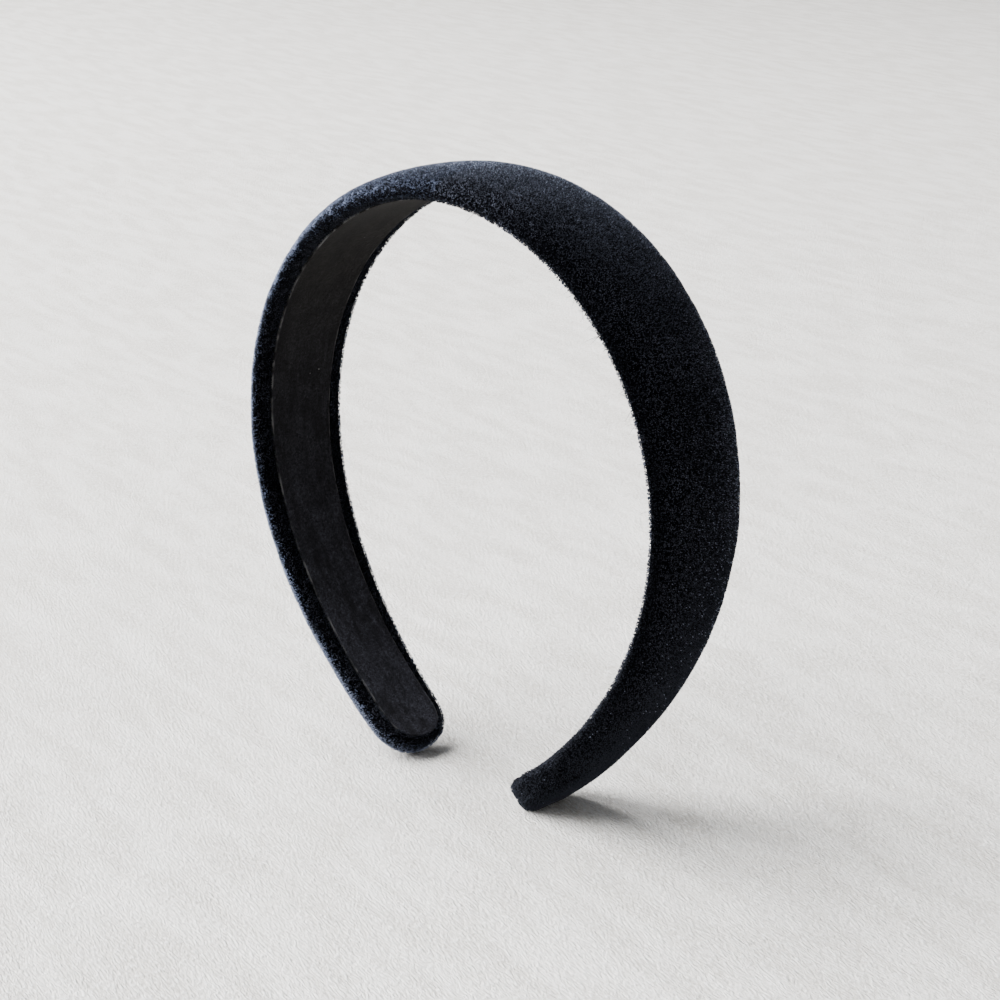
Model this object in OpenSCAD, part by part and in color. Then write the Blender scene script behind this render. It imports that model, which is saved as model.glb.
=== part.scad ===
// Padded hair band: a springy plastic hoop, a sponge pad on its outer face, a pile-fabric cover
// wrapped round both and turned in at the edges, and a suede lining strip glued along the inside.
// Millimetres. X runs from ear to ear, Y from front to back and Z up. The band stands on its two
// tips, and the origin is on that surface, midway between them.

/* [Hoop] */
// Bend radius of the inner face at the crown
crown_r = 66; // [62:1:72]
// Bend radius at the shoulders, where the hoop starts to turn down
shoulder_r = 52; // [49:1:58]
// Bend radius beside the temples
temple_r = 67.5; // [64:0.5:76]
// Bend radius of the lower legs
leg_r = 114; // [104:1:140]
// Bend radius just before the tips
tip_r = 208; // [180:2:260]
// Length of the inner face from the crown to one tip
leg_len = 193; // [184:1:198]

/* [Widths] */
// Width of the covered band at the crown
crown_w = 32.5; // [29:0.5:36]
// Width that the legs taper through
leg_w = 25.6; // [24:0.2:29]
// Width of the covered band at the round tips
tip_w = 20; // [19:0.5:22]
// Pile fabric left showing beside the lining at the crown
crown_rim = 4.2; // [3.5:0.1:5]
// Pile fabric left showing beside the lining along the legs
leg_rim = 5.6; // [4:0.1:6]
// Pile fabric left showing round the end of the lining
tip_rim = 2.2; // [1.8:0.1:2.6]
// How far the cover is turned in under the lining
turn_in = 3; // [2:0.25:4]

/* [Thicknesses] */
// Overall thickness of the covered band at the crown
crown_t = 5.8; // [5.4:0.1:7]
// Overall thickness that the legs pass through
leg_t = 6.3; // [5.8:0.1:7.5]
// Overall thickness where the round tips start
tip_t = 7.8; // [7.2:0.1:8.5]
// Share of that thickness left at the very end of a tip
nose_share = 0.62; // [0.58:0.02:0.8]
// Thickness of the plastic hoop
core_t = 1.8; // [1.5:0.1:2]
// Thickness of the cover, pile included
cover_t = 0.9; // [0.7:0.05:1]
// Thickness of the turned-in cover, pressed flat
hem_t = 0.6; // [0.5:0.05:0.7]
// Thickness of the glue under the turned-in cover
hem_glue_t = 0.1; // [0.08:0.01:0.15]
// Thickness of the adhesive tape under the sponge
pad_tape_t = 0.15; // [0.1:0.01:0.2]
// Thickness of the glue under the lining
lining_glue_t = 0.2; // [0.15:0.01:0.3]
// Thickness of the suede lining
lining_t = 0.8; // [0.6:0.05:1]

/* [Cross section] */
// Height of the widest line above the inner face
edge_h = 1.3; // [1.2:0.05:1.4]
// Squareness of the outer face from side to side
dome_p = 2.45; // [2.1:0.05:2.8]
// Squareness of the outer face in height
dome_q = 1.95; // [1.8:0.05:2.2]
// Squareness of the round tips, seen flat
tip_m = 2.3; // [2:0.1:2.6]

/* [Hidden] */

black_plastic = [0.08, 0.08, 0.09];
clear_tape = [0.85, 0.84, 0.78];
white_sponge = [0.9, 0.9, 0.87];
amber_glue = [0.8, 0.72, 0.5];
black_velvet = [0.05, 0.06, 0.09];
charcoal_suede = [0.12, 0.12, 0.13];

path_step = 0.5;             // spacing of the points that the centre line is summed over
side_rings = 24;             // ring spaces from the crown to the start of a round tip
tip_rings = 7;               // ring spaces in a round tip
tip_turn = 80;               // degrees of the round end that rings cover, the nose closes the rest
last_ring = side_rings + tip_rings;
dome_steps = 8;              // chords over the sponge's dome
edge_turn = 65;              // last angle of the rounded lower edge before its widest point
dish_slope = 1.5;            // how wide the lining takes to sink between the turned-in edges
dish_ledge = 0.5;            // lining left flat beside that slope
tongue_gap = 0.3;            // gap beside the lining where it sinks between the turned-in edges
tip_start = leg_len - tip_w / 2;
core_n = hem_t + hem_glue_t; // height of the hoop's inner face
core_top_n = core_n + core_t;
tape_top_n = core_top_n + pad_tape_t;
lining_n = core_n - lining_glue_t;
inner_edge = edge_h - hem_t; // radius of the rounded lower edge inside the cover

// Bezier blend of a list of values, at u from 0 to 1
function blend(v, u) =
    len(v) == 1 ? v[0] : blend([for (i = [0:len(v) - 2]) v[i] * (1 - u) + v[i + 1] * u], u);

function bend(s) =
    let (r = [crown_r, crown_r, shoulder_r, temple_r, leg_r, tip_r])
    blend([for (v = r) 1 / v], s / leg_len) * 180 / PI;

// Inner face of one leg as [x, z, slope], from the crown down
path = [for (i = 0, x = 0, z = 0, a = 0, turn = bend(path_step / 2) * path_step;
             i <= leg_len / path_step + 1;
             x = x + path_step * cos(a + turn / 2), z = z - path_step * sin(a + turn / 2),
             a = a + turn, i = i + 1, turn = bend((i + 0.5) * path_step) * path_step) [x, z, a]];

function at(s) =
    let (i = floor(s / path_step), f = s / path_step - i)
    path[i] * (1 - f) + path[i + 1] * f;

// A point of ring k, y across the band and n above its inner face; rings below 0 are on the left leg
function place(k, s, y, n) =
    let (p = at(s), side = k < 0 ? -1 : 1)
    [side * (p[0] + n * sin(p[2])), y, p[1] + n * cos(p[2])];

// Ring k's distance from the crown, where the piece's round end has the radius r
function reach(k, r) =
    abs(k) <= side_rings ? tip_start * abs(k) / side_rings
                         : tip_start + r * sin(tip_turn * (abs(k) - side_rings) / tip_rings);
// Share of the full width at ring k
function closing(k) =
    abs(k) <= side_rings ? 1
        : pow(1 - pow(sin(tip_turn * (abs(k) - side_rings) / tip_rings), tip_m), 1 / tip_m);

function band_w(s) = blend([crown_w, crown_w, leg_w, tip_w], s / leg_len);
function rim(s) = blend([crown_rim, crown_rim, leg_rim, tip_rim], s / leg_len);
function thick(k, s) =
    blend([crown_t, crown_t, leg_t, tip_t], s / leg_len) * (nose_share + (1 - nose_share) * closing(k));
function lining_half(k, s) = (band_w(s) / 2 - rim(s)) * closing(k);
function slot_half(k, s) = (band_w(s) / 2 - rim(s) - turn_in) * closing(k);

// Angle on the sponge's dome at the height n
function dome_angle(n, top) = asin(pow((n - edge_h) / (top - edge_h), dome_q / 2));
function dome_point(a, half, top) =
    [sign(cos(a)) * half * pow(abs(cos(a)), 2 / dome_p), edge_h + (top - edge_h) * pow(sin(a), 2 / dome_q)];

// Loop of the cross section from one side of the slot to the other, round the outer face.
// inset is 0 on the cover's outside and cover_t inside it.
function section(k, s, inset) =
    let (half = (band_w(s) / 2 - inset) * closing(k),
         top = thick(k, s) - inset,
         low = inset > 0 ? hem_t : 0,
         corner = edge_h - low,
         slot = slot_half(k, s),
         inner_top = thick(k, s) - cover_t,
         a_core = dome_angle(core_top_n, inner_top),
         a_tape = dome_angle(tape_top_n, inner_top),
         low_angles = [0, acos(1 - hem_glue_t / inner_edge), edge_turn],
         low_edge = [for (a = low_angles)
             [half - min(corner, half / 2) * (1 - sin(a)), low + corner * (1 - cos(a))]],
         dome = [0, a_core, for (i = [0:dome_steps]) a_tape + (180 - 2 * a_tape) * i / dome_steps,
                 180 - a_core, 180])
    [[slot, low], each low_edge,
     for (a = dome) dome_point(a, half, top),
     for (i = [2:-1:0]) [-low_edge[i][0], low_edge[i][1]], [-slot, low]];

outer_r = tip_w / 2;
inner_r = outer_r - cover_t;
lining_r = outer_r - tip_rim;

function outer_ring(k) =
    let (s = reach(k, outer_r)) [for (p = section(k, s, 0)) place(k, s, p[0], p[1])];
function inner_ring(k) =
    let (s = reach(k, inner_r)) [for (p = section(k, s, cover_t)) place(k, s, p[0], p[1])];
// The two points on the hoop's inner face over the edges of the slot
function slot_over(k, n) =
    let (s = reach(k, inner_r), y = slot_half(k, s)) [place(k, s, y, n), place(k, s, -y, n)];

rings = [for (k = [-last_ring:last_ring]) k];
slot_rings = [for (k = [-side_rings:side_rings]) k];
outer = [for (k = rings) outer_ring(k)];
inner = [for (k = rings) inner_ring(k)];
section_n = len(outer[0]);
slot_a = tip_rings;                  // first and last ring of the slot between the turned-in edges
slot_b = last_ring + side_rings;
widest_i = 4;                        // the widest point in the section's loop
core_i = 5;                          // the hoop's upper edge in the section's loop
tape_i = 6;                          // the tape's upper edge in the section's loop
nose_n = tip_t * nose_share / 2;
outer_noses = [place(-1, leg_len, 0, nose_n), place(1, leg_len, 0, nose_n)];
floor_z = min([for (ring = outer) for (p = ring) p[2]]);

// Two triangles between the columns a and b of ring i and of the next, with n points to a ring
function patch(n, i, a, b) =
    [[n * i + a, n * (i + 1) + b, n * i + b], [n * i + a, n * (i + 1) + a, n * (i + 1) + b]];
function inside_out(triangles) = [for (t = triangles) [t[0], t[2], t[1]]];
function around(n, i, cols) =
    [for (j = [0:len(cols) - 1]) each patch(n, i, cols[j], cols[(j + 1) % len(cols)])];
function fan(cols) = [for (j = [1:len(cols) - 2]) [cols[0], cols[j], cols[j + 1]]];
// The n columns from first on, back round to the one before it
function columns(n, first = 0) = [for (j = [0:n - 1]) (first + j) % n];
function shifted(faces, by) = [for (f = faces) [for (j = f) j + by]];

// Solid through a list of rings: flat ends, filled from column first, or ends drawn to noses
module loft(loops, first = 0, noses = []) {
    n = len(loops[0]);
    last = len(loops) - 1;
    end = fan(columns(n, first));
    flat_ends = [each end, each shifted(inside_out(end), n * last)];
    nose_ends = [for (j = [0:n - 1]) each
        [[n * (last + 1), j, (j + 1) % n], [n * (last + 1) + 1, n * last + (j + 1) % n, n * last + j]]];
    translate([0, 0, -floor_z])
        polyhedron([for (loop = loops) each loop, each noses],
                   [for (i = [0:last - 1]) each around(n, i, columns(n)),
                    each len(noses) > 0 ? nose_ends : flat_ends]);
}

// Moulded hoop
module core_band() {
    m = section_n - 1;
    color(black_plastic)
        loft([for (i = [0:len(rings) - 1])
            let (g = slot_over(rings[i], core_n), p = inner[i])
            [g[0], for (j = [2:core_i]) p[j], for (j = [m - core_i:m - 2]) p[j], g[1]]], first = 3);
}

// Double-sided tape between the hoop and the sponge
module pad_tape() {
    color(clear_tape)
        loft([for (p = inner)
            let (m = section_n - 1) [p[core_i], p[tape_i], p[m - tape_i], p[m - core_i]]]);
}

// Domed sponge on the hoop's outer face
module foam_pad() {
    color(white_sponge)
        loft([for (p = inner) [for (j = [tape_i:section_n - 1 - tape_i]) p[j]]]);
}

// Glue between the hoop and the turned-in edges of the cover, all round the slot
module hem_glue() {
    n = 8;
    m = section_n - 1;
    last = len(rings) - 1;
    points = [for (i = [0:last])
        let (g = slot_over(rings[i], core_n), p = inner[i])
        each [p[0], p[1], p[2], g[0], g[1], p[m - 2], p[m - 1], p[m]]];
    // two strips beside the slot, one plate beyond its ends
    function middle(i) = i >= slot_a && i < slot_b
        ? [each around(n, i, [0, 1, 2, 3]), each around(n, i, [4, 5, 6, 7])]
        : around(n, i, [for (j = [0:n - 1]) j]);
    end = [each fan([1, 2, 3, 0]), each fan([3, 4, 7, 0]), each fan([5, 6, 7, 4])];
    slot_wall = fan([0, 3, 4, 7]);
    color(amber_glue)
        translate([0, 0, -floor_z])
            polyhedron(points,
                       [for (i = [0:last - 1]) each middle(i),
                        each end, each shifted(inside_out(end), n * last),
                        each shifted(inside_out(slot_wall), n * slot_a),
                        each shifted(slot_wall, n * slot_b)]);
}

// Pile fabric, wrapped over the sponge and turned in on the inner face
module velvet_cover() {
    m = section_n;
    n = 2 * m;
    last = len(rings) - 1;
    nose_i = n * (last + 1);
    points = [for (i = [0:last]) each [each outer[i], each inner[i]], each outer_noses];
    // walls of the slot, or the closed inner face beyond its ends
    function middle(i) = i >= slot_a && i < slot_b
        ? [each patch(n, i, m, 0), each patch(n, i, m - 1, n - 1)]
        : [each patch(n, i, m - 1, 0), each patch(n, i, m, n - 1)];
    outer_nose = [for (j = [0:m - 1]) each
        [[nose_i, j, (j + 1) % m],
         [nose_i + 1, n * last + (j + 1) % m, n * last + j]]];
    inner_end = shifted(fan(columns(m, widest_i)), m);
    slot_wall = fan([m - 1, 0, m, n - 1]);
    color(black_velvet)
        translate([0, 0, -floor_z])
            polyhedron(points,
                       [for (i = [0:last - 1]) for (j = [0:m - 2]) each
                            [each patch(n, i, j, j + 1), each inside_out(patch(n, i, m + j, m + j + 1))],
                        for (i = [0:last - 1]) each middle(i),
                        each outer_nose, each inside_out(inner_end), each shifted(inner_end, n * last),
                        each shifted(inside_out(slot_wall), n * slot_a),
                        each shifted(slot_wall, n * slot_b)]);
}

// Glue between the hoop and the lining, in the slot between the turned-in edges
module lining_glue() {
    color(amber_glue)
        loft([for (k = slot_rings)
            let (low = slot_over(k, lining_n), high = slot_over(k, core_n),
                 shift = [0, tongue_gap, 0])
            [low[0] - shift, high[0] - shift, high[1] + shift, low[1] + shift]]);
}

// Suede strip along the inside, over the turned-in edges and sunk a little between them
module lining_strip() {
    function cross(k) =
        let (s = reach(k, lining_r), half = lining_half(k, s), slot = slot_half(k, s),
             sunk = abs(k) < side_rings ? lining_n : 0,
             share = closing(k),
             tongue = slot - tongue_gap * share,
             ledge = slot + dish_ledge * share,
             dish = ledge - dish_slope * share)
        [[half, -lining_t], [half, 0], [slot, 0], [tongue, sunk],
         [-tongue, sunk], [-slot, 0], [-half, 0], [-half, -lining_t],
         [-ledge, -lining_t], [-dish, sunk - lining_t], [dish, sunk - lining_t], [ledge, -lining_t]];
    color(charcoal_suede)
        loft([for (k = rings)
                let (s = reach(k, lining_r)) [for (p = cross(k)) place(k, s, p[0], p[1])]],
             noses = [for (k = [-1, 1]) place(k, tip_start + lining_r, 0, -lining_t / 2)]);
}

core_band();
pad_tape();
foam_pad();
hem_glue();
velvet_cover();
lining_glue();
lining_strip();
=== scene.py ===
import math

import bpy
import numpy as np
from mathutils import Matrix, Vector, noise


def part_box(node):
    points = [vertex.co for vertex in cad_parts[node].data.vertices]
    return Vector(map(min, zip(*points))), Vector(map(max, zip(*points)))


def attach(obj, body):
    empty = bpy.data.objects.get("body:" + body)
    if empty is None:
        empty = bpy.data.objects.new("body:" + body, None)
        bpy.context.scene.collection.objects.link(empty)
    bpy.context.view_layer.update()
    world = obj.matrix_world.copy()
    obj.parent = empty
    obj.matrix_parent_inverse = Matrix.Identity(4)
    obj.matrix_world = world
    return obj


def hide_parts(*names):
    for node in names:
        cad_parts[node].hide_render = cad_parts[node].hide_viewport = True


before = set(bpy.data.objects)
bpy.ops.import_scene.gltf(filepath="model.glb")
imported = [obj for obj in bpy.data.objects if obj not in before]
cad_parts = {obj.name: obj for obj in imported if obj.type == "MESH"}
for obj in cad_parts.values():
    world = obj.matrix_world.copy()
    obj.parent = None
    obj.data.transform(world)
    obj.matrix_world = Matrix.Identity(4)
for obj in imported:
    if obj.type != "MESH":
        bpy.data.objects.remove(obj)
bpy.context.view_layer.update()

MM = 0.001

# ---- Driving dimensions of the band, the same ones that the CAD is built from --------------------
# Bend radii, widths, rims beside the lining and thicknesses all run from the crown to a tip.
CROWN_R, SHOULDER_R, TEMPLE_R, LEG_R, TIP_R = (r * MM for r in (66, 52, 67.5, 114, 208))
LEG_LEN = 193 * MM                # inner face, from the crown to one tip
CROWN_W, LEG_W, TIP_W = 32.5 * MM, 25.6 * MM, 20 * MM
CROWN_RIM, LEG_RIM, TIP_RIM = 4.2 * MM, 5.6 * MM, 2.2 * MM
TURN_IN = 3 * MM                  # velvet hidden under the lining's edge
CROWN_T, LEG_T, TIP_T = 5.8 * MM, 6.3 * MM, 7.8 * MM
NOSE_SHARE = 0.62                 # share of the thickness left at the very end of a tip
COVER_T = 0.9 * MM                # velvet, pile included
HEM_T = 0.6 * MM                  # velvet pressed flat under the lining
HEM_GLUE_T = 0.1 * MM
CORE_T, PAD_TAPE_T = 1.8 * MM, 0.15 * MM
LINING_GLUE_T, LINING_T = 0.2 * MM, 0.8 * MM
EDGE_H = 1.3 * MM                 # height of the widest line above the inner face
DOME_P, DOME_Q = 2.45, 1.95       # roundness of the outer face, across and upwards
TIP_M = 2.3                       # squareness of the tips and of the lining's ends, seen flat
TIP_START = LEG_LEN - TIP_W / 2
CROWN_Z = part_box("velvet_cover")[1].z - CROWN_T
LINE_STEPS, LINE_SPARE = 2000, 1.02   # the centre line is worked out to a little past the tip
SEED_STEPS = (7.1, 3.3, 5.7)      # how far the noise moves on from one seed to the next


# ---- Shape of the hoop ---------------------------------------------------------------------------
def blend(values, u):
    """Bezier blend of a list of values, with u from 0 to 1."""
    row = [np.full_like(u, v) for v in values]
    while len(row) > 1:
        row = [a * (1 - u) + b * u for a, b in zip(row, row[1:])]
    return row[0]


def along_leg(values, s):
    """Value at each distance along the band, blended from the crown's to a tip's."""
    return blend(values, np.clip(np.abs(s) / LEG_LEN, 0, 1))


def centre_line():
    """Inner face of one leg: its distance from the crown, x, z and slope."""
    s = np.linspace(0, LEG_LEN * LINE_SPARE, LINE_STEPS)
    bend = blend([1 / r for r in (CROWN_R, CROWN_R, SHOULDER_R, TEMPLE_R, LEG_R, TIP_R)], s / LEG_LEN)
    step = s[1] - s[0]
    slope = np.concatenate([[0], np.cumsum((bend[1:] + bend[:-1]) / 2 * step)])
    middle = (slope[1:] + slope[:-1]) / 2
    x = np.concatenate([[0], np.cumsum(np.cos(middle) * step)])
    z = np.concatenate([[0], -np.cumsum(np.sin(middle) * step)])
    return s, x, z, slope


LINE = centre_line()


def place(s, y, n):
    """Points at the signed distance s along the band, y across it and n above its inner face."""
    far = np.abs(s)
    x, z, slope = (np.interp(far, LINE[0], column) for column in LINE[1:])
    x = np.where(s < 0, -1.0, 1.0) * (x + n * np.sin(slope))
    z = CROWN_Z + z + n * np.cos(slope)
    return np.stack(np.broadcast_arrays(x, y, z), axis=-1)


def stations(end_radius, body_steps, tip_steps, turn_deg, square_left=TIP_M, square_right=TIP_M):
    """Signed distances along the whole band, and how much of the full width each still has, as columns."""
    body = np.linspace(0, TIP_START, body_steps + 1)
    turn = np.radians(turn_deg) * np.arange(1, tip_steps + 1) / tip_steps
    leg = np.concatenate([body, TIP_START + end_radius * np.sin(turn)])
    left, right = [np.concatenate([np.ones(body_steps + 1), (1 - np.sin(turn) ** m) ** (1 / m)])
                   for m in (square_left, square_right)]
    return np.concatenate([-leg[:0:-1], leg])[:, None], np.concatenate([left[:0:-1], right])[:, None]


def band_w(s):
    return along_leg([CROWN_W, CROWN_W, LEG_W, TIP_W], s)


def band_t(s, share, nose=NOSE_SHARE):
    return along_leg([CROWN_T, CROWN_T, LEG_T, TIP_T], s) * (nose + (1 - nose) * share)


def rim_w(s):
    return along_leg([CROWN_RIM, CROWN_RIM, LEG_RIM, TIP_RIM], s)


def lining_half(s):
    return band_w(s) / 2 - rim_w(s)


def dome(half, top, angle, p=DOME_P, q=DOME_Q):
    """Outer face of every section, as y and n at angles that go from its rear edge to its front edge."""
    y = half * np.sign(np.cos(angle)) * np.abs(np.cos(angle)) ** (2 / p)
    n = EDGE_H + (top - EDGE_H) * np.sin(angle) ** (2 / q)
    return y, n


def bell(value, middle, spread):
    return np.exp(-((value - middle) / spread) ** 2)


def ripple(points, size, seed):
    """Smooth random values from -1 to 1 at the points, with features of about that size."""
    shift = Vector([seed * step for step in SEED_STEPS])
    values = [noise.noise(Vector(p) / size + shift) for p in points.reshape(-1, 3)]
    return np.array(values).reshape(points.shape[:-1])


# ---- Meshes --------------------------------------------------------------------------------------
def new_object(name, points, faces, material=None, smooth=True):
    mesh = bpy.data.meshes.new(name)
    mesh.from_pydata([tuple(p) for p in points], [], faces)
    mesh.update()
    mesh.polygons.foreach_set("use_smooth", [smooth] * len(mesh.polygons))
    if material is not None:
        mesh.materials.append(material)
    obj = bpy.data.objects.new(name, mesh)
    bpy.context.scene.collection.objects.link(obj)
    return obj


def apply_modifiers(obj):
    shown = obj.evaluated_get(bpy.context.evaluated_depsgraph_get())
    mesh = bpy.data.meshes.new_from_object(shown)
    obj.modifiers.clear()
    obj.data = mesh


def paint(obj, name, values):
    """One value for every point, which a material reads by its name."""
    layer = obj.data.attributes.new(name, "FLOAT", "POINT")
    layer.data.foreach_set("value", values.ravel().astype(np.float32))


def quads(rows, columns, wrap):
    """Outward faces of a grid of points. Where wrap is true the last column also joins the first."""
    faces = []
    for i, closed in enumerate(np.broadcast_to(wrap, rows - 1)):
        for j in range(columns if closed else columns - 1):
            k = (j + 1) % columns
            faces.append((i * columns + j, i * columns + k, (i + 1) * columns + k, (i + 1) * columns + j))
    return faces


def end_caps(rows, columns):
    """Faces that close the first and the last ring of a grid of points."""
    last = (rows - 1) * columns
    return [tuple(reversed(range(columns))), tuple(range(last, last + columns))]


def end_strips(rows, columns):
    """The same for rings that run along a flat strip and back: a row of quads at each end."""
    last = (rows - 1) * columns
    pairs = [(j, columns - 1 - j) for j in range(columns // 2)]
    faces = []
    for (a, d), (b, c) in zip(pairs, pairs[1:]):
        faces += [(b, a, d, c), (last + a, last + b, last + c, last + d)]
    return faces


def unit(vectors):
    return vectors / np.maximum(np.linalg.norm(vectors, axis=-1, keepdims=True), 1e-12)


def outward(points):
    """Unit normals of a grid of points."""
    return unit(np.cross(np.gradient(points, axis=1), np.gradient(points, axis=0)))


def thirds(side, other):
    """Three directions at equal angles, in the plane of two that are square to each other."""
    return [math.cos(turn) * side + math.sin(turn) * other for turn in np.radians((0, 120, 240))]


# ---- Materials -----------------------------------------------------------------------------------
class Shader:
    """A Principled material, and the nodes that feed it."""

    def __init__(self, name, **sockets):
        self.material = bpy.data.materials.new(name)
        self.material.use_nodes = True
        self.tree = self.material.node_tree
        self.surface = self.tree.nodes["Principled BSDF"]
        for socket, value in sockets.items():
            title = socket.replace("_", " ").title().replace("Ior", "IOR")
            self.surface.inputs[title].default_value = value
        self.where = self.tree.nodes.new("ShaderNodeTexCoord").outputs["Object"]
        split = self.tree.nodes.new("ShaderNodeSeparateXYZ")
        self.link(self.where, split.inputs[0])
        self.height = split.outputs["Z"]

    def link(self, out, socket):
        self.tree.links.new(out, socket)

    def noise(self, size, detail=2.0, distortion=0.0, roughness=0.5, where=None):
        node = self.tree.nodes.new("ShaderNodeTexNoise")
        node.inputs["Scale"].default_value = 1 / size
        node.inputs["Detail"].default_value = detail
        node.inputs["Roughness"].default_value = roughness
        node.inputs["Distortion"].default_value = distortion
        self.link(where or self.where, node.inputs["Vector"])
        return node.outputs["Fac"]

    def cells(self, size):
        """Distance to the middle of the nearest of many small cells, and a random value for each cell."""
        node = self.tree.nodes.new("ShaderNodeTexVoronoi")
        node.inputs["Scale"].default_value = 1 / size
        self.link(self.where, node.inputs["Vector"])
        split = self.tree.nodes.new("ShaderNodeSeparateColor")
        self.link(node.outputs["Color"], split.inputs[0])
        return node.outputs["Distance"], split.outputs[0]

    def stretched(self, scale, kind="POINT", turn_deg=0):
        """Coordinates for a pattern that is drawn out one way. A TEXTURE one can be turned too."""
        node = self.tree.nodes.new("ShaderNodeMapping")
        node.vector_type = kind
        node.inputs["Rotation"].default_value = (0, 0, math.radians(turn_deg))
        node.inputs["Scale"].default_value = scale
        self.link(self.where, node.inputs["Vector"])
        return node.outputs["Vector"]

    def ramp(self, value, low, high, dark=0.0, light=1.0):
        """A straight rise from dark, where the value is low, to light, where it is high."""
        node = self.tree.nodes.new("ShaderNodeMapRange")
        for socket, number in zip(("From Min", "From Max", "To Min", "To Max"), (low, high, dark, light)):
            node.inputs[socket].default_value = number
        self.link(value, node.inputs["Value"])
        return node.outputs["Result"]

    def times(self, a, b):
        node = self.tree.nodes.new("ShaderNodeMath")
        node.operation = "MULTIPLY"
        self.link(a, node.inputs[0])
        self.link(b, node.inputs[1])
        return node.outputs[0]

    def mix(self, share, a, b):
        """Colour a where the share is 0 and b where it is 1. Each is a colour or a node's output."""
        node = self.tree.nodes.new("ShaderNodeMix")
        node.data_type = "RGBA"
        self.link(share, node.inputs["Factor"])
        for socket, value in ((node.inputs[6], a), (node.inputs[7], b)):
            if isinstance(value, tuple):
                socket.default_value = (*value, 1)
            else:
                self.link(value, socket)
        return node.outputs[2]

    def bump(self, height, depth, strength):
        node = self.tree.nodes.new("ShaderNodeBump")
        node.inputs["Strength"].default_value = strength
        node.inputs["Distance"].default_value = depth
        self.link(height, node.inputs["Height"])
        return node.outputs["Normal"]

    def attribute(self, name):
        node = self.tree.nodes.new("ShaderNodeAttribute")
        node.attribute_name = name
        return node.outputs["Fac"]

    def finish(self, colour, roughness, normal):
        self.link(colour, self.surface.inputs["Base Color"])
        self.link(roughness, self.surface.inputs["Roughness"])
        self.link(normal, self.surface.inputs["Normal"])
        return self.material


PILE_BLACK = (0.0006, 0.0007, 0.0011)
FLOOR_TURN = 74.0                 # degrees from X to the line across the floor's scratches


def velvet_material():
    """Black pile seen between its tufts: dark roots, a few paler tips and a faint sheen."""
    m = Shader("velvet", sheen_weight=0.15, sheen_roughness=0.35, sheen_tint=(0.42, 0.47, 0.60, 1),
               specular_ior_level=0.0, roughness=1.0)
    tufts, tint = m.cells(0.45 * MM)
    crush = m.noise(9 * MM, detail=2, distortion=0.5)
    pale = m.times(m.ramp(tint, 0.3, 1.0), m.ramp(tufts, 0.5, 0.15))
    pale = m.times(pale, m.ramp(crush, 0.35, 0.65, 0.4, 1.0))
    colour = m.mix(pale, PILE_BLACK, (0.030, 0.034, 0.045))
    return m.finish(colour, m.ramp(tufts, 0.1, 0.6, 0.85, 1.0), m.bump(tufts, -0.18 * MM, 1.0))


def pile_material(name, sheen, pale):
    """Single tufts of the pile: black at the root, some of them paler towards the tip."""
    m = Shader(name, sheen_weight=sheen, sheen_roughness=0.38, sheen_tint=(0.43, 0.49, 0.66, 1),
               specular_ior_level=0.02)
    grain = m.noise(0.2 * MM, detail=1)
    # The light attribute carries each tuft's paleness, with painted sheen and painted shade in it.
    colour = m.mix(m.attribute("light"), PILE_BLACK, pale)
    return m.finish(colour, m.ramp(grain, 0.3, 0.7, 0.8, 1.0), m.bump(grain, 0.02 * MM, 0.3))


def suede_material():
    """Charcoal microfibre: matt and mottled by its short nap, with a little lint, painted light low on the
    legs, painted shade near the crown, and a paler cut edge with a painted highlight.
    """
    m = Shader("suede", sheen_weight=0.05, sheen_roughness=0.5, sheen_tint=(0.5, 0.5, 0.5, 1),
               specular_ior_level=0.02)
    nap = m.noise(0.55 * MM, detail=0, distortion=1.2)
    fibre = m.noise(1.1 * MM, detail=1, distortion=2.5)
    patch = m.noise(6 * MM, detail=3, distortion=0.8)
    crease = m.noise(2.6 * MM, detail=2, distortion=0.8, where=m.stretched((0.22, 1, 0.22)))
    far, pick = m.cells(6 * MM)
    shade = m.times(m.ramp(nap, 0.25, 0.75, 0.3, 1.0), m.ramp(fibre, 0.25, 0.75, 0.2, 1.0))
    # Painted light and shade: paler and bluer low on the legs, darker and warmer higher up.
    low = m.mix(shade, (0.0020, 0.0021, 0.0028), (0.0480, 0.0495, 0.0650))
    high = m.mix(shade, (0.0008, 0.0008, 0.0009), (0.0160, 0.0155, 0.0150))
    colour = m.mix(m.ramp(m.height, 20 * MM, 120 * MM), low, high)
    # Painted shade near the lining's top, at the crown.
    colour = m.mix(m.ramp(m.height, 125 * MM, 142 * MM, 0.0, 0.5), colour, (0.0040, 0.0037, 0.0033))
    colour = m.mix(m.ramp(patch, 0.4, 0.65, 0.0, 0.5), colour, (0.0032, 0.0032, 0.0038))
    colour = m.mix(m.ramp(crease, 0.46, 0.68, 0.0, 0.5), colour, (0.0030, 0.0030, 0.0034))
    # Paler cut edge: partly fibrous wear, partly a painted highlight where its top edge catches the light.
    worn_and_lit_edge = m.times(m.attribute("cut_edge"), m.ramp(m.noise(3.5 * MM, detail=2), 0.42, 0.62))
    colour = m.mix(worn_and_lit_edge, colour, (0.085, 0.085, 0.088))
    lint = m.times(m.ramp(far, 0.028, 0.018), m.ramp(pick, 0.5, 0.52))
    colour = m.mix(lint, colour, (0.20, 0.20, 0.19))
    return m.finish(colour, m.ramp(nap, 0.3, 0.7, 0.9, 1.0), m.bump(fibre, 0.2 * MM, 0.8))


def sponge_material():
    m = Shader("sponge", specular_ior_level=0.2, sheen_weight=0.1)
    pore = m.ramp(m.cells(0.6 * MM)[0], 0.1, 0.6)
    colour = m.mix(pore, (0.35, 0.33, 0.28), (0.80, 0.78, 0.71))
    return m.finish(colour, m.ramp(pore, 0, 1, 0.95, 0.8), m.bump(pore, 0.25 * MM, 0.8))


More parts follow.
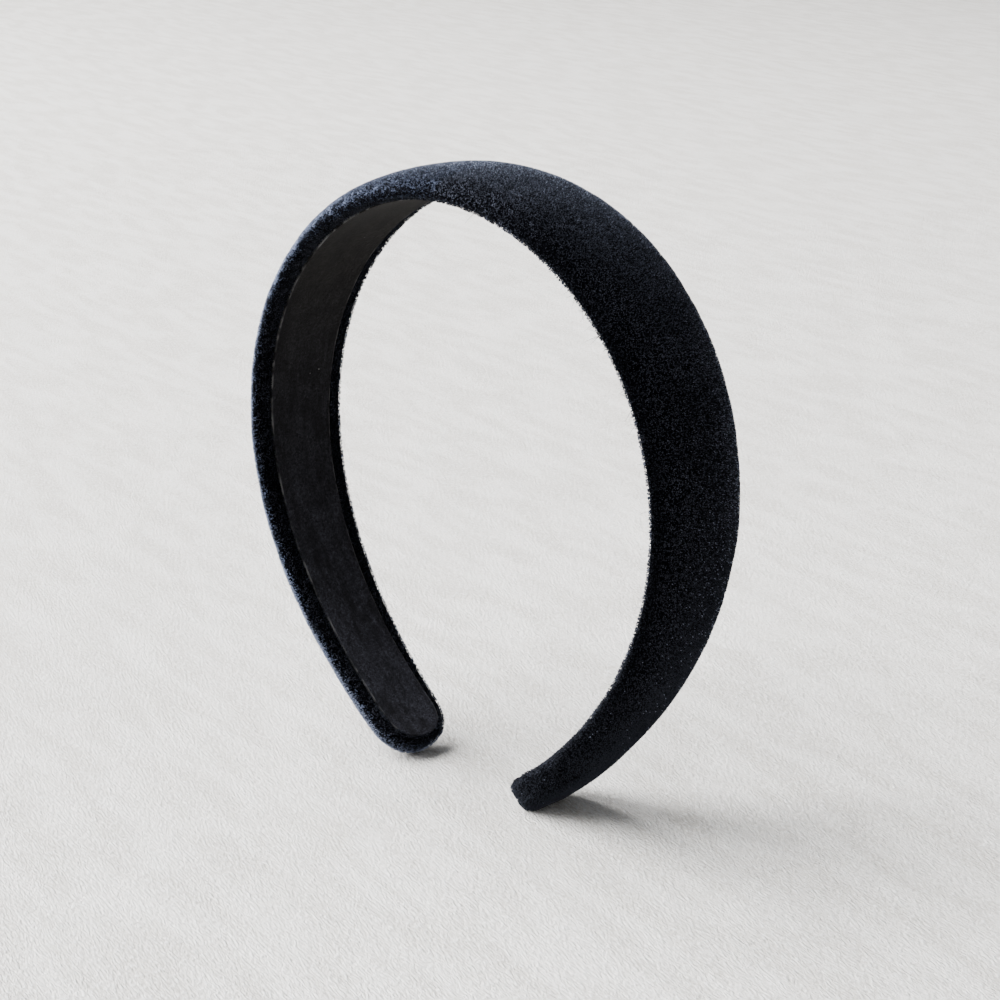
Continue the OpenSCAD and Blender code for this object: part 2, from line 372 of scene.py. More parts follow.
def moulded_material():
    m = Shader("hoop_plastic", specular_ior_level=0.45)
    grain = m.noise(0.5 * MM, detail=3)
    flow = m.noise(14 * MM, detail=2, where=m.stretched((1, 4, 1)))
    colour = m.mix(m.ramp(flow, 0.35, 0.65), (0.012, 0.012, 0.013), (0.020, 0.020, 0.022))
    return m.finish(colour, m.ramp(grain, 0.3, 0.7, 0.38, 0.55), m.bump(grain, 0.02 * MM, 0.4))


def film_material(name, pale, deep, shine):
    """Adhesive: a thin film with streaks and small bubbles."""
    m = Shader(name, specular_ior_level=0.5)
    streak = m.noise(3 * MM, detail=3, where=m.stretched((1, 3, 1)))
    bubble = m.noise(0.7 * MM, detail=2)
    colour = m.mix(m.ramp(streak, 0.35, 0.7), deep, pale)
    return m.finish(colour, m.ramp(bubble, 0.3, 0.7, shine, shine + 0.25), m.bump(bubble, 0.04 * MM, 0.5))


def floor_material():
    """Pale plaster board: cloudy mottling, and fine scratches drawn out one way that catch the light."""
    m = Shader("floor", specular_ior_level=0.25)
    drawn = m.stretched((1, 4, 1), "TEXTURE", FLOOR_TURN)
    cloud = m.noise(9 * MM, detail=4, roughness=0.6, distortion=0.4, where=drawn)
    grain = m.noise(0.50 * MM, detail=2, roughness=0.75, distortion=0.3, where=drawn)
    colour = m.mix(m.ramp(cloud, 0.40, 0.60), (0.800, 0.776, 0.744), (0.970, 0.955, 0.936))
    colour = m.mix(m.ramp(grain, 0.54, 0.59), colour, (1.0, 1.0, 1.0))
    colour = m.mix(m.ramp(grain, 0.44, 0.38, 0.0, 0.30), colour, (0.42, 0.41, 0.39))
    return m.finish(colour, m.ramp(grain, 0.3, 0.7, 0.8, 0.35), m.bump(grain, 1.6 * MM, 1.0))


# ---- Cloth simulation of the cover ---------------------------------------------------------------
SIM_SCALE = 20                         # the solver works on an enlarged copy, it is steadier there
SIM_FRAMES = 20
SIM_START = 0.10 * MM                  # the cloth starts this much inside its outline and swells
SIM_SLACK = 0.002                      # extra length that the cloth has over the sponge
SIM_PRESSURE = 0.2
SIM_CAP = 0.3 * MM                     # furthest that a point may end up from its outline


def between(values):
    """The same grid of values with one more between every two."""
    for _ in range(2):
        more = np.empty((2 * len(values) - 1, *values.shape[1:]))
        more[::2] = values
        more[1::2] = (values[:-1] + values[1:]) / 2
        values = more.swapaxes(0, 1)
    return values


def settled(points, held):
    """How far the cloth moves when the sponge swells it and its turned-in edges are held."""
    coarse, held = points[::2, ::2], held[::2, ::2]
    rows, columns = held.shape
    start = coarse - SIM_START * np.where(held, 0, 1)[..., None] * outward(coarse)
    obj = new_object("cloth_trial", SIM_SCALE * start.reshape(-1, 3), quads(rows, columns, False))
    group = obj.vertex_groups.new(name="held")
    group.add(np.flatnonzero(held.ravel()).tolist(), 1.0, "REPLACE")
    cloth = obj.modifiers.new("cloth", "CLOTH").settings
    cloth.quality = 6
    cloth.mass = 0.3
    cloth.tension_stiffness = cloth.compression_stiffness = 80
    cloth.shear_stiffness = 10
    cloth.bending_stiffness = 2
    cloth.air_damping = 4
    cloth.shrink_min = -SIM_SLACK
    cloth.use_pressure = True
    cloth.uniform_pressure_force = SIM_PRESSURE
    cloth.vertex_group_mass = "held"
    cloth.effector_weights.gravity = 0
    scene = bpy.context.scene
    for frame_number in range(1, SIM_FRAMES + 1):
        scene.frame_set(frame_number)
    shown = obj.evaluated_get(bpy.context.evaluated_depsgraph_get())
    result = np.zeros(3 * rows * columns, np.float32)
    shown.data.vertices.foreach_get("co", result)
    bpy.data.objects.remove(obj)
    scene.frame_set(1)
    moved = result.reshape(rows, columns, 3) / SIM_SCALE - coarse
    far = np.linalg.norm(moved, axis=-1, keepdims=True)
    return between(moved * np.minimum(1, SIM_CAP / np.maximum(far, 1e-9)))


# ---- Velvet cover --------------------------------------------------------------------------------
BODY_STEPS, TIP_STEPS, TIP_TURN = 170, 22, 88   # rings along a leg and round its tip, and degrees round it
FLAT_STEPS, EDGE_STEPS, DOME_STEPS = 12, 8, 49  # columns on each inner rim and edge, and on the outer face
HELD_COLUMNS = FLAT_STEPS + EDGE_STEPS + 1      # glued inner face with the hoop's edge
HELD_ROWS = 5                          # the ends of the tips
HEM_GAP = 0.05 * MM                    # left between the turned-in velvet and its glue
SKIN_DEPTH = 0.06 * MM                 # the pile stands on a skin this far inside the band's outline
INNER_HIGH = 0.4 * EDGE_H              # the skin belongs to the inner face below this
SQUARE_LEFT, SQUARE_RIGHT = 2.2, 3.0   # squareness of each tip, seen flat
SQUARE_FROM = 12 * MM                  # the right leg's section turns squarer this far before its tip
SQUARE_P, SQUARE_Q = 1.2, 1.3          # by this much more in the dome's two powers
BLUNT_LEFT, BLUNT_RIGHT = 0.72, 0.93   # where each tip's end starts to round off in thickness
BLUNT_UNDER = 0.92                     # the same on the inner face of both tips
BLUNT_LEAST = 0.02                     # square of the least share of the thickness that is left
BLUNT_MIDDLE = 0.46                    # they round off towards this share of the thickness
NOSE_LEFT, NOSE_RIGHT = 0.60, 1.00     # share of the thickness at each tip's end, the right one is fuller
RIGHT_BLEND = 20 * MM                  # the right leg's own look begins over this length from the crown
UNEVEN = [(0.12 * MM, 11 * MM, 1), (0.05 * MM, 3 * MM, 2)]                   # sponge: depth, size, seed
SWELLS = [(0.50 * MM, -145 * MM, 45 * MM), (0.30 * MM, -32 * MM, 22 * MM)]   # rise, place, length
RIM_PUFF, TIP_PUFF = 0.12 * MM, 0.75 * MM   # how far the rim round the lining stands up, legs and tips
PUFF_HIGH, PUFF_ROUND = 1.5 * EDGE_H, 0.8   # the height at which that ends, and its roundness
PUFF_FOLDS = 0.6                       # share of it that the gathers add or take away
GATHER_FROM, GATHER_OVER = 6 * MM, 8 * MM   # the gathers begin this far before a tip, over this length
FOLD_FOCUS = 2 * MM                    # they fan out from a point this far before the tip's middle
FOLD_PITCH = 0.42                      # spacing of the gathers round a tip, in radians
FOLD_SIDE = 3.0                        # keeps the noise of the two tips apart
FOLD_DEPTH = 0.22 * MM
FOLD_HIGH, FOLD_FADE = 0.8 * MM, 2.5 * MM   # they fade out above this height, over this one
FOLD_LINE = 0.6 * EDGE_H               # the cloth folds round the rim most sharply at this height
SHOWS_FROM = 0.15                      # the velvet shows from this share of the rim's width outwards


def cover_section(half, top, slot, square):
    """Loop from the slot's rear edge round the outer face to its front edge, for every station."""
    corner = np.minimum(EDGE_H, half / 2)
    turn = np.linspace(0, math.pi / 2, EDGE_STEPS, endpoint=False)
    y_flat = slot + (half - corner - slot) * np.linspace(0, 1, FLAT_STEPS, endpoint=False)
    n_flat = np.zeros_like(y_flat)
    y_edge = half - corner * (1 - np.sin(turn))
    n_edge = EDGE_H * (1 - np.cos(turn)) + np.zeros_like(y_edge)
    angle = np.linspace(0, math.pi, DOME_STEPS)
    y_dome, n_dome = dome(half, top, angle, DOME_P + SQUARE_P * square, DOME_Q + SQUARE_Q * square)
    y = np.concatenate([y_flat, y_edge, y_dome, -y_edge[:, ::-1], -y_flat[:, ::-1]], axis=1)
    n = np.concatenate([n_flat, n_edge, n_dome, n_edge[:, ::-1], n_flat[:, ::-1]], axis=1)
    return y, n


def across_rim(s, y):
    """Share of the way from the lining's edge to the band's edge."""
    beyond = np.clip(np.abs(s) - TIP_START, 0, None)
    lining_r = TIP_W / 2 - TIP_RIM
    ring = ((np.abs(y) / lining_half(s)) ** TIP_M + (beyond / lining_r) ** TIP_M) ** (1 / TIP_M)
    return np.clip((ring - 1) / (TIP_W / 2 / lining_r - 1), 0, 1)


def gathers(s, y):
    """Folds of the cloth that fan out round each tip, from -1 to 1."""
    turn = np.arctan2(y, np.clip(np.abs(s) - TIP_START, 0, None) + FOLD_FOCUS)
    spot = np.stack(np.broadcast_arrays(np.cos(turn), np.sin(turn), FOLD_SIDE * np.sign(s)), axis=-1)
    return ripple(spot, FOLD_PITCH, seed=3)


def rounding(beyond, start):
    """Share of the thickness left beyond the start of a round end."""
    return np.sqrt(np.clip(1 - np.clip((beyond - start) / (1 - start), 0, 1) ** 2, BLUNT_LEAST, 1))


def blunted(n, top, beyond, right):
    """Heights of the points once the ends of the tips are rounded off in thickness."""
    over = rounding(beyond, BLUNT_LEFT + (BLUNT_RIGHT - BLUNT_LEFT) * right)
    under = rounding(beyond, BLUNT_UNDER)
    middle = top * BLUNT_MIDDLE
    return middle + (n - middle) * np.where(n > middle, over, under)


def swelling(points, s):
    """Uneven rise of the sponge under the cloth."""
    rise = sum(depth * ripple(points, size, seed) for depth, size, seed in UNEVEN)
    for swell, swell_at, swell_spread in SWELLS:
        rise = rise + swell * bell(s, swell_at, swell_spread)
    return rise


def cover_grid():
    """Skin under the pile as a grid of points: rings along the band, columns round it."""
    s, share = stations(TIP_W / 2, BODY_STEPS, TIP_STEPS, TIP_TURN, SQUARE_LEFT, SQUARE_RIGHT)
    right = np.clip(s / RIGHT_BLEND, 0, 1)
    beyond = np.clip((np.abs(s) - TIP_START) / (TIP_W / 2), 0, 1)
    top = band_t(s, share, NOSE_LEFT + (NOSE_RIGHT - NOSE_LEFT) * right)
    slot = np.where(beyond > 0, 0.0, lining_half(s) - TURN_IN)
    square = np.clip((s - TIP_START + SQUARE_FROM) / SQUARE_FROM, 0, 1)
    y, n = cover_section(band_w(s) / 2 * share, top, slot, square)
    across = across_rim(s, y)
    near_tip = np.clip((np.abs(s) - TIP_START + GATHER_FROM) / GATHER_OVER, 0, 1)
    fold = gathers(s, y) * near_tip
    puff = RIM_PUFF + (TIP_PUFF - RIM_PUFF) * near_tip
    under = np.clip(1 - n / PUFF_HIGH, 0, 1)
    n = n - puff * (1 + PUFF_FOLDS * fold) * np.sin(math.pi * across) ** PUFF_ROUND * under
    n = blunted(n, top, beyond, right)
    points = place(s, y, n)
    held = np.zeros(y.shape, bool)
    held[:, :HELD_COLUMNS] = held[:, -HELD_COLUMNS:] = True
    held[:HELD_ROWS] = held[-HELD_ROWS:] = True
    points = points + settled(points, held)
    normal = outward(points)
    on_dome = np.clip(n / EDGE_H, 0, 1)
    shows = np.clip(across / SHOWS_FROM, 0, 1) * (1 - on_dome) + on_dome
    gather = FOLD_DEPTH * fold * np.clip(1 - (n - FOLD_HIGH) / FOLD_FADE, 0, 1)
    rise = gather + swelling(points, s) * on_dome - SKIN_DEPTH * shows
    points = points + normal * rise[..., None]
    points[..., 2] = np.maximum(points[..., 2], 0)
    return {"points": points, "s": s, "height": n, "inner": n < INNER_HIGH, "shows": shows > 0.5,
            "fold": bell(n, FOLD_LINE, EDGE_H)}


def velvet_cover(cover, material):
    """The skin as a cloth with a thickness. Beyond the start of each tip its turned-in edges meet."""
    rows, columns = cover["height"].shape
    far = np.abs(cover["s"][:, 0])
    closed = np.minimum(far[:-1], far[1:]) >= TIP_START - 1e-9
    faces = quads(rows, columns, closed) + end_caps(rows, columns)
    obj = new_object("velvet_skin", cover["points"].reshape(-1, 3), faces)
    thick = obj.modifiers.new("cloth", "SOLIDIFY")
    thick.thickness = HEM_T - HEM_GAP
    thick.offset = -1
    apply_modifiers(obj)
    obj.data.materials.append(material)
    return obj


# ---- Pile ----------------------------------------------------------------------------------------
LEFT_TUFTS = 48000                     # on the left leg's outer face
RAISED_TUFTS, SHADED_TUFTS = 19200, 28800         # on the right leg's
RIM_TUFTS = 18000                      # on the inner rims
TUFT_H, TUFT_W = 0.42 * MM, 0.20 * MM  # height and top radius of a tuft
SHORTEST, NARROWEST = 0.8, 0.6         # the least of each is this share of it, also corner by corner
ROOT_DEPTH = 0.05 * MM                 # how far the roots go under the skin
SPLAY = 0.80                           # how much longer the tufts are where the cloth folds round the rim
NAP_LEAN, NAP_SPREAD = 0.35, 0.22      # steady lean of the pile along the band, and its scatter
CLUMP, CLUMP_LEAN = 1.4 * MM, 0.25     # size of the brushed clumps, and how much they lean apart
RIM_LEAN = 0.45                        # how much more they do where the cloth folds round the rim
SHINE_LEAN = 0.4                       # how far a tuft's own lean turns the way it catches the light
NAP_SHINE = 0.35                       # how far the pile's steady lean does
TUFT_TILT = 0.13                       # scatter of that way
SHADED_AT, SHADED_BLEND = 85 * MM, 14 * MM # painted shade: a dull, darker copy of the pile takes over from here to the right tip
SHADED_FRONT = 0.8                       # and this share of it on the right leg's front side
SHADED_FRONT_BLEND = 30 * MM             # which begins over this length from the crown

STROKE_LONG, STROKE_WIDE = 2.6 * MM, 0.9 * MM   # strokes left by the brushing
STROKE_TURN = 0.6                      # radians from the band's length
PILE_LIGHT = 0.13                      # how pale the tufts are
TUFT_LIGHT = 0.45                      # the darkest tuft is this share of the palest
STROKE_MEAN, STROKE_LEAST, STROKE_MOST = 0.75, 0.1, 1.6      # how the strokes show elsewhere
STROKE_DEPTH, STROKE_RIM = 0.5, 1.3    # contrast of the strokes, and how much more where the cloth folds
CLOUD, CLOUD_MEAN, CLOUD_DEPTH = 12 * MM, 0.95, 0.5   # broad paler and darker patches
CLOUD_LEAST, CLOUD_MOST = 0.5, 1.3
FRONT_BLEND = 6 * MM                   # the painted sheen and shade on the front side fade out over this width
PAINTED_SHEEN_LIGHT = 2.0                    # painted sheen: how much paler the tufts are in a band on the front flank, with the strokes in it
PAINTED_SHEEN_AT, PAINTED_SHEEN_SPREAD = -105 * MM, 75 * MM      # where that is along the band, left of the crown
PAINTED_SHEEN_HIGH, PAINTED_SHEEN_TALL = 3.2 * MM, 1.6 * MM      # and above the inner face, on the front side
PAINTED_SHEEN_MEAN, PAINTED_SHEEN_DEPTH = 0.6, 1.7          # how the strokes show there
PAINTED_SHEEN_LEAST, PAINTED_SHEEN_MOST = 0.08, 1.4
SHADED_FLANK_HIGH, SHADED_FLANK_TALL = 2.3 * MM, 1.5 * MM      # painted shade: the right leg's front flank is darker there
SHADED_FLANK_DARK = 0.75                    # by this share
RIGHT_FROM, RIGHT_TO = 100 * MM, 160 * MM            # painted shade: the right leg's pile gets darker between these
RIGHT_PALE, RIGHT_DARK = 1.7, 0.6      # painted light near the shoulder, painted shade towards the tip: from the first to the second share
RIM_LIGHT = 1.8                        # painted sheen: how much paler the tufts are on its front rim


def shaded_share(cover):
    """Share of the pile given the dull, darker copy that paints shade: more towards the right tip and on
    the right leg's front side.
    """
    run, y = cover["s"], cover["points"][..., 1]
    by_tip = 1 / (1 + np.exp((SHADED_AT - run) / SHADED_BLEND))
    in_front = np.clip(-y / (CROWN_W / 2), 0, 1) * np.clip(run / SHADED_FRONT_BLEND, 0, 1)
    return 1 - (1 - by_tip) * (1 - SHADED_FRONT * in_front)


def tuft_seats(cover, where, count, random):
    """Random places on the skin: the cell of the grid, the point, and the ways up and along the band."""
    grid = cover["points"]
    a, b, c, d = grid[:-1, :-1], grid[1:, :-1], grid[:-1, 1:], grid[1:, 1:]
    area = np.linalg.norm(np.cross(d - a, c - b), axis=-1) * (where * cover["shows"])[:-1, :-1]
    pick = random.choice(area.size, count, p=(area / area.sum()).ravel())
    cell = np.unravel_index(pick, area.shape)
    u, v = random.random((2, count, 1))
    base = (a[cell] * (1 - u) + b[cell] * u) * (1 - v) + (c[cell] * (1 - u) + d[cell] * u) * v
    return cell, base, outward(grid)[cell], unit(b[cell] - a[cell])


def tuft_corners(base, up, way, rim, random):
    """Four corners of every tuft: its root and the three of its cut top."""
    count = len(base)
    high = TUFT_H * random.uniform(SHORTEST, 1.0, (count, 1))
    high *= 1 + SPLAY * rim * random.random((count, 1))
    wide = TUFT_W * random.uniform(NARROWEST, 1.0, (count, 1))
    side = unit(np.cross(way, random.normal(0, 1, (count, 3))))
    corners = [base - up * ROOT_DEPTH]
    for third in thirds(side, np.cross(way, side)):
        uneven = random.uniform(SHORTEST, 1.0, (count, 1))
        corners.append(base + way * high * uneven + wide * third)
    corners = np.stack(corners, axis=1).reshape(-1, 3)
    corners[:, 2] = np.maximum(corners[:, 2], 0)
    return corners


def strokes(cover, cell):
    """Marks left by the brushing, from -1 to 1, drawn out at an angle to the band's length."""
    grid = cover["points"]
    girth = np.cumsum(np.linalg.norm(np.diff(grid, axis=1, prepend=grid[:, :1]), axis=-1), axis=1)
    run, around = cover["s"][cell[0], 0], girth[cell]
    along = (run * math.cos(STROKE_TURN) + around * math.sin(STROKE_TURN)) / STROKE_LONG
    beside = (around * math.cos(STROKE_TURN) - run * math.sin(STROKE_TURN)) / STROKE_WIDE
    return ripple(np.stack([along, beside, 0 * run], axis=1), 1, seed=7)


def tuft_light(cover, cell, base, random):
    """How pale each tuft's top is: strokes and clouds all over, and painted sheen and painted shade on each
    leg.
    """
    run, rim, height = cover["s"][cell[0], 0], cover["fold"][cell], cover["height"][cell]
    in_front = np.clip(-base[:, 1] / FRONT_BLEND, 0, 1)
    on_right = in_front * np.clip(run / RIGHT_BLEND, 0, 1)
    stroke = strokes(cover, cell)
    own = TUFT_LIGHT + (1 - TUFT_LIGHT) * random.random(len(base))
    contrast = STROKE_DEPTH + STROKE_RIM * rim
    light = PILE_LIGHT * own * np.clip(STROKE_MEAN + contrast * stroke, STROKE_LEAST, STROKE_MOST)
    light *= np.clip(CLOUD_MEAN + CLOUD_DEPTH * ripple(base, CLOUD, seed=8), CLOUD_LEAST, CLOUD_MOST)
    # Painted shade on the right leg's front flank, which faces away from the light.
    light *= 1 - SHADED_FLANK_DARK * (bell(height, SHADED_FLANK_HIGH, SHADED_FLANK_TALL) * on_right)
    # Painted sheen along the right leg's front rim.
    light *= 1 + RIM_LIGHT * rim ** 2 * on_right
    # Painted light on the right shoulder, then painted shade down towards the right tip.
    light *= np.interp(run, [0, RIGHT_BLEND, RIGHT_FROM, RIGHT_TO], [1, RIGHT_PALE, RIGHT_PALE, RIGHT_DARK])
    # Painted sheen: a paler band on the front flank left of the crown, streaked by the strokes.
    painted_sheen = bell(run, PAINTED_SHEEN_AT, PAINTED_SHEEN_SPREAD) * bell(height, PAINTED_SHEEN_HIGH, PAINTED_SHEEN_TALL) * in_front
    marks = np.clip(PAINTED_SHEEN_MEAN + PAINTED_SHEEN_DEPTH * stroke, PAINTED_SHEEN_LEAST, PAINTED_SHEEN_MOST)
    return light + PAINTED_SHEEN_LIGHT * painted_sheen * own * marks


def pile(cover, name, where, count, seed, material):
    """Tufts that stand out of the skin, each a wedge that widens from its root to its cut top."""
    random = np.random.default_rng(seed)
    cell, base, up, along = tuft_seats(cover, where, count, random)
    rim = cover["fold"][cell][:, None]
    sway = [(CLUMP_LEAN + RIM_LEAN * rim) * ripple(base, CLUMP, seed=k)[:, None] for k in (5, 6)]
    way = up + along * (NAP_LEAN + sway[0]) + np.cross(up, along) * sway[1]
    way = unit(way + random.normal(0, NAP_SPREAD, (count, 3)))
    corners = tuft_corners(base, up, way, rim, random)
    first = 4 * np.arange(count)[:, None]
    wedge = ((1, 2, 3), (0, 2, 1), (0, 3, 2), (0, 1, 3))
    faces = np.concatenate([first + np.array(face) for face in wedge])
    obj = new_object(name, corners, faces.tolist(), material)
    tilt = up + SHINE_LEAN * (way - up) + NAP_SHINE * along + random.normal(0, TUFT_TILT, (count, 3))
    obj.data.normals_split_custom_set_from_vertices(np.repeat(unit(tilt), 4, axis=0).tolist())
    light = tuft_light(cover, cell, base, random)
    paint(obj, "light", np.stack([0 * light, light, light, light], axis=1))
    return obj


# ---- Stray fibres --------------------------------------------------------------------------------
FIBRES = 110                           # most of them on the right half's front rim
FIBRES_AT, FIBRES_SPREAD = 55 * MM, 28 * MM     # where they are, from the crown along the band
FIBRES_ELSEWHERE = 0.05                # chance of one anywhere else on that rim
FIBRES_FOLD = 0.6                      # they stand where the cloth folds more than this
FIBRE_LONG, FIBRE_R = 2.1 * MM, 0.055 * MM
FIBRE_SHORTEST = 0.4                   # the least length is this share of it
FIBRE_SCATTER, FIBRE_BEND = 0.45, 0.5  # how far they point away from the skin's normal, and how they bend
FIBRE_TAPER = 0.6                      # share of the radius that is gone at the end
FIBRE_RINGS = 5


def loose_fibres(cover, name, count, seed, material):
    """Stray fibres along the folded front rim, each a thin bent tube with three sides."""
    random = np.random.default_rng(seed)
    grid = cover["points"]
    chance = bell(cover["s"], FIBRES_AT, FIBRES_SPREAD) + FIBRES_ELSEWHERE
    chance = chance * (cover["fold"] > FIBRES_FOLD) * cover["shows"] * (grid[..., 1] < 0)
    pick = random.choice(chance.size, count, p=(chance / chance.sum()).ravel())
    cell = np.unravel_index(pick, chance.shape)
    points = []
    for root, up in zip(grid[cell], outward(grid)[cell]):
        way = up + random.normal(0, FIBRE_SCATTER, 3)
        bend = random.normal(0, FIBRE_BEND, 3)
        length = FIBRE_LONG * random.uniform(FIBRE_SHORTEST, 1.0)
        side = unit(np.cross(way, bend))
        around = thirds(side, np.cross(unit(way), side))
        for t in np.linspace(0, 1, FIBRE_RINGS):
            middle = root + length * (way * t + bend * t * t)
            points += [middle + FIBRE_R * (1 - FIBRE_TAPER * t) * third for third in around]
    tube = quads(FIBRE_RINGS, 3, True) + end_caps(FIBRE_RINGS, 3)
    firsts = range(0, len(points), 3 * FIBRE_RINGS)
    faces = [tuple(first + k for k in face) for first in firsts for face in tube]
    return new_object(name, points, faces, material)


# ---- Lining --------------------------------------------------------------------------------------
LINING_END = 0.6 * MM                  # its round ends reach this far over the tips' rims
LINING_COLUMNS = 29
DISH = 0.25 * MM                       # hollow across the lining
WAVE_DEPTH, WAVE_SIZE = 0.10 * MM, 9 * MM       # unevenness of its inner face
EDGE_LIFT = 0.12 * MM                  # its edges are pressed this far towards the hoop
TOP_GAP = 0.04 * MM                    # left between the lining and the velvet under it
SINK_TO, SINK_BLEND = 4 * MM, 0.45 * MM         # it sinks into the slot up to here before a tip, softly
SINK_SHARE = 0.98                      # the part of the slot's depth that it fills
CUT_FROM, CUT_INNER = 0.965, 0.8       # the cut edge's place across it, and its strength on the inner face


def lining(material):
    """Suede strip with round ends, sunk a little between the turned-in edges."""
    s, share = stations(TIP_W / 2 - TIP_RIM + LINING_END, body_steps=150, tip_steps=16, turn_deg=86)
    half = lining_half(s) * share
    across = np.sin(np.linspace(-math.pi / 2, math.pi / 2, LINING_COLUMNS))
    y = half * across
    deep = (HEM_T - LINING_GLUE_T + HEM_GLUE_T - HEM_GAP) * (np.abs(s) < TIP_START - SINK_TO)
    in_slot = 1 / (1 + np.exp((np.abs(y) - (half - TURN_IN * share)) / SINK_BLEND))
    wave = WAVE_DEPTH * ripple(place(s, y, 0), WAVE_SIZE, seed=4)
    dish = DISH * (1 - across ** 2) * share ** 2
    lower = place(s, y, -LINING_T + dish + wave + EDGE_LIFT * np.abs(across) ** 8)
    upper = place(s, y, -TOP_GAP + deep * in_slot * SINK_SHARE)
    points = np.concatenate([lower, upper[:, ::-1]], axis=1)
    rows, columns = points.shape[:2]
    faces = quads(rows, columns, True) + end_strips(rows, columns)
    obj = new_object("suede_lining", points.reshape(-1, 3), faces, material)
    edge = np.clip((np.abs(across) - CUT_FROM) / (1 - CUT_FROM), 0, 1) ** 2
    paint(obj, "cut_edge", np.tile(np.concatenate([CUT_INNER * edge, edge[::-1]]), rows))
    return obj


# ---- Sponge --------------------------------------------------------------------------------------
SPONGE_GAP = 0.04 * MM                 # left between the sponge and what is round it
SPONGE_DOME, SPONGE_FLAT = 29, 10      # columns on its dome and on its flat side


def sponge(material):
    """Domed sponge between the hoop and the velvet."""
    s, share = stations(TIP_W / 2 - COVER_T, body_steps=120, tip_steps=14, turn_deg=80)
    half = (band_w(s) / 2 - COVER_T - SPONGE_GAP) * share
    top = band_t(s, share) - COVER_T - SPONGE_GAP
    low = HEM_T + HEM_GLUE_T + CORE_T + PAD_TAPE_T + SPONGE_GAP
    start = np.arcsin(((low - EDGE_H) / (top - EDGE_H)) ** (DOME_Q / 2))
    y_dome, n_dome = dome(half, top, start + (math.pi - 2 * start) * np.linspace(0, 1, SPONGE_DOME))
    y_flat = -y_dome[:, :1] * np.linspace(1, -1, SPONGE_FLAT + 2)[1:-1]
    y = np.concatenate([y_dome, y_flat], axis=1)
    n = np.concatenate([n_dome, np.full_like(y_flat, low)], axis=1)
    rows, columns = y.shape
    faces = quads(rows, columns, True) + end_caps(rows, columns)
    return new_object("sponge_pad", place(s, y, n).reshape(-1, 3), faces, material)


# ---- Camera, light and floor ---------------------------------------------------------------------
AZIMUTH, ELEVATION, ROLL = 43.54, 17.19, 0.70   # degrees
CAMERA_FAR = 595.6 * MM
LOOK_AT = Vector((4.53, 1.90, 71.43)) * MM
LENS, FILM_WIDTH = 90.94, 36                    # both in mm
LIT_POINT = Vector((0, 0, 70 * MM))             # the lights point at the middle of the hoop
FLOOR_HALF = 4.0                                # half the floor's width


def camera():
    a, e, r = (math.radians(v) for v in (AZIMUTH, ELEVATION, ROLL))
    back = Vector((math.sin(a) * math.cos(e), -math.cos(a) * math.cos(e), math.sin(e)))
    right = Vector((math.cos(a), math.sin(a), 0))
    up = back.cross(right)
    tilted_right = right * math.cos(r) + up * math.sin(r)
    tilted_up = up * math.cos(r) - right * math.sin(r)
    data = bpy.data.cameras.new("camera")
    data.lens = LENS
    data.sensor_width = FILM_WIDTH
    data.clip_start = 0.01
    obj = bpy.data.objects.new("camera", data)
    turn = Matrix((tilted_right, tilted_up, back)).transposed().to_4x4()
    obj.matrix_world = Matrix.Translation(LOOK_AT + back * CAMERA_FAR) @ turn
    bpy.context.scene.collection.objects.link(obj)
    bpy.context.scene.camera = obj
    return right, Vector((-back.x, -back.y, 0)).normalized()


def soft_light(name, place_at, size, watts, colour):
    data = bpy.data.lights.new(name, "AREA")
    data.shape = "SQUARE"
    data.size = size
    data.energy = watts
    data.color = colour
    obj = bpy.data.objects.new(name, data)
    obj.location = place_at
    obj.rotation_euler = (LIT_POINT - place_at).to_track_quat("-Z", "Y").to_euler()
    bpy.context.scene.collection.objects.link(obj)


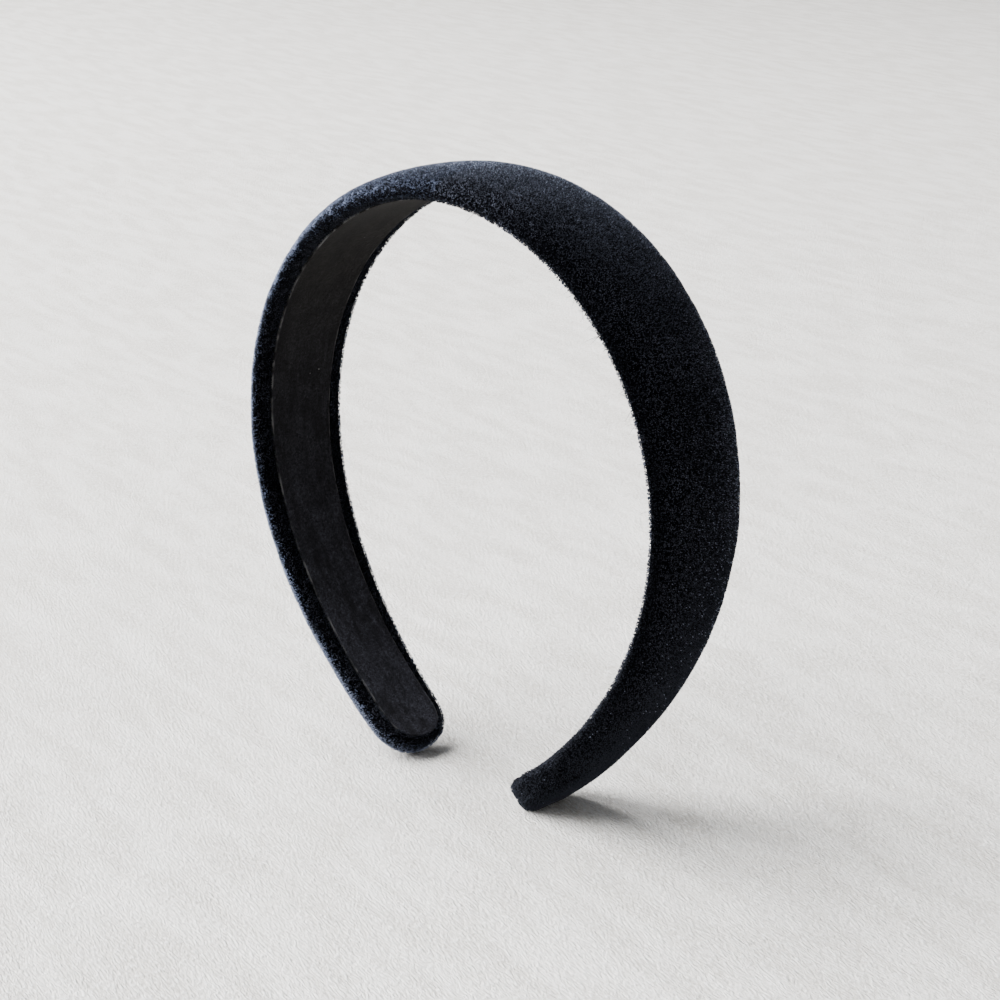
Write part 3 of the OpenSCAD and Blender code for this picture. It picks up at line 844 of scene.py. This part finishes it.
def studio(right, away):
    """A wide floor, a large light from the left and two weak ones, placed by the camera's directions."""
    corners = [(FLOOR_HALF * x, FLOOR_HALF * y, 0) for x, y in ((-1, -1), (1, -1), (1, 1), (-1, 1))]
    floor = new_object("floor", corners, [(0, 1, 2, 3)], floor_material(), smooth=False)
    up = Vector((0, 0, 1))
    warm, pale = (1.0, 0.985, 0.965), (1.0, 0.99, 0.98)
    soft_light("key", -right * 1.8 + away * 0.5 + up * 1.75, size=3.2, watts=515, colour=warm)
    soft_light("fill", right * 1.6 - away * 0.6 + up * 0.9, size=1.6, watts=5, colour=pale)
    soft_light("front", -right * 1.5 - away * 1.2 + up * 0.9, size=1.4, watts=8, colour=pale)
    world = bpy.data.worlds.new("world")
    world.use_nodes = True
    world.node_tree.nodes["Background"].inputs["Color"].default_value = (0.93, 0.96, 1.0, 1)
    world.node_tree.nodes["Background"].inputs["Strength"].default_value = 0.16
    bpy.context.scene.world = world


# ---- Put together --------------------------------------------------------------------------------
def take_over(piece, node):
    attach(piece, "root")
    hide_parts(node)


def finish_cad(node, material):
    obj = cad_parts[node]
    obj.data.materials.clear()
    obj.data.materials.append(material)


right, away = camera()
velvet = velvet_material()
raised_pile = pile_material("raised_pile", 0.9, (0.180, 0.220, 0.340))
turning_pile = pile_material("turning_pile", 0.75, (0.200, 0.222, 0.300))
# Dull, darker copy of the pile with almost no sheen: painted shade on the right leg, its front side and the
# inner rims.
shaded_pile = pile_material("shaded_pile", 0.08, (0.165, 0.180, 0.242))

cover = cover_grid()
skin = velvet_cover(cover, velvet)
take_over(skin, "velvet_cover")

inner, on_left, shaded_part = cover["inner"], cover["s"] < 0, shaded_share(cover)
tufts = [
    pile(cover, "pile_left", 1.0 * ~inner * on_left, LEFT_TUFTS, 11, raised_pile),
    pile(cover, "pile_right_raised", ~inner * ~on_left * (1 - shaded_part), RAISED_TUFTS, 12, turning_pile),
    pile(cover, "pile_right_shaded", ~inner * ~on_left * shaded_part, SHADED_TUFTS, 15, shaded_pile),
    pile(cover, "pile_rims", 1.0 * inner, RIM_TUFTS, 14, shaded_pile),
    loose_fibres(cover, "loose_fibres", FIBRES, 13, shaded_pile)]
for piece in tufts:
    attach(piece, "root")

strip = lining(suede_material())
take_over(strip, "lining_strip")

pad = sponge(sponge_material())
take_over(pad, "foam_pad")

finish_cad("core_band", moulded_material())
finish_cad("pad_tape", film_material("adhesive_tape", (0.72, 0.71, 0.66), (0.60, 0.59, 0.53), 0.3))
glue = film_material("glue", (0.66, 0.56, 0.36), (0.52, 0.41, 0.22), 0.25)
finish_cad("hem_glue", glue)
finish_cad("lining_glue", glue)

studio(right, away)
